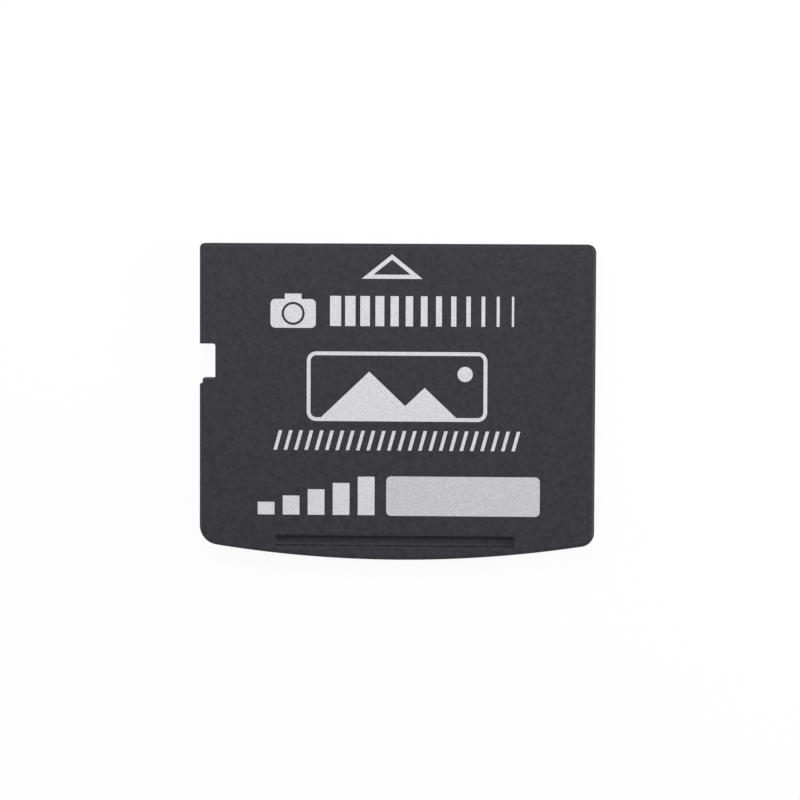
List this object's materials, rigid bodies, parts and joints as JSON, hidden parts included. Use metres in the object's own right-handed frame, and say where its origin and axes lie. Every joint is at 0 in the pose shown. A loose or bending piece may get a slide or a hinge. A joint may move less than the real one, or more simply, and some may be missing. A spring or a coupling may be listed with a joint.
{
  "type": "camera memory card",
  "caption": "Thin flat flash-memory card for a camera, with a curved grip end, a fingernail groove, a latch notch in one side and a row of gold contacts on its rear; stores pictures.",
  "frame": {"origin": "middle of the card's rear face, below the middle of its 25 by 20 mm outline", "axes": "+X across the card to the right as seen from the label side, +Y towards the leading edge that enters the slot first, +Z out of the label side"},
  "size_m": [0.025, 0.02, 0.0018],
  "materials": {
    "case_plastic": "black moulded plastic with a fine spark-eroded grain",
    "silver_ink": "screen-printed silver-grey ink with a fine speckle",
    "gold_plate": "hard gold plating, satin",
    "gold_wire": "drawn gold wire",
    "board_laminate": "dark green solder mask on glass-fibre laminate",
    "moulding_resin": "black filled epoxy moulding resin",
    "silicon": "ground silicon, dark grey",
    "die_film": "amber bonding film",
    "bond_film": "translucent acrylic adhesive film"
  },
  "bodies": {
    "root": {"front_cover": "case_plastic", "rear_cover": "case_plastic", "module_board": "board_laminate", "contact_01": "gold_plate", "contact_02": "gold_plate", "contact_03": "gold_plate", "contact_04": "gold_plate", "contact_05": "gold_plate", "contact_06": "gold_plate", "contact_07": "gold_plate", "contact_08": "gold_plate", "contact_09": "gold_plate", "contact_10": "gold_plate", "contact_11": "gold_plate", "contact_12": "gold_plate", "contact_13": "gold_plate", "contact_14": "gold_plate", "contact_15": "gold_plate", "contact_16": "gold_plate", "contact_17": "gold_plate", "contact_18": "gold_plate", "mould_cap": "moulding_resin", "die_film_lower": "die_film", "memory_die_lower": "silicon", "die_film_upper": "die_film", "memory_die_upper": "silicon", "bond_wires_lower": "gold_wire", "bond_wires_upper": "gold_wire", "bond_film": "bond_film", "print_arrow": "silver_ink", "print_camera": "silver_ink", "print_bars": "silver_ink", "print_landscape": "silver_ink", "print_hatch": "silver_ink", "print_levels": "silver_ink", "print_panel": "silver_ink"}
  },
  "joints": []
}
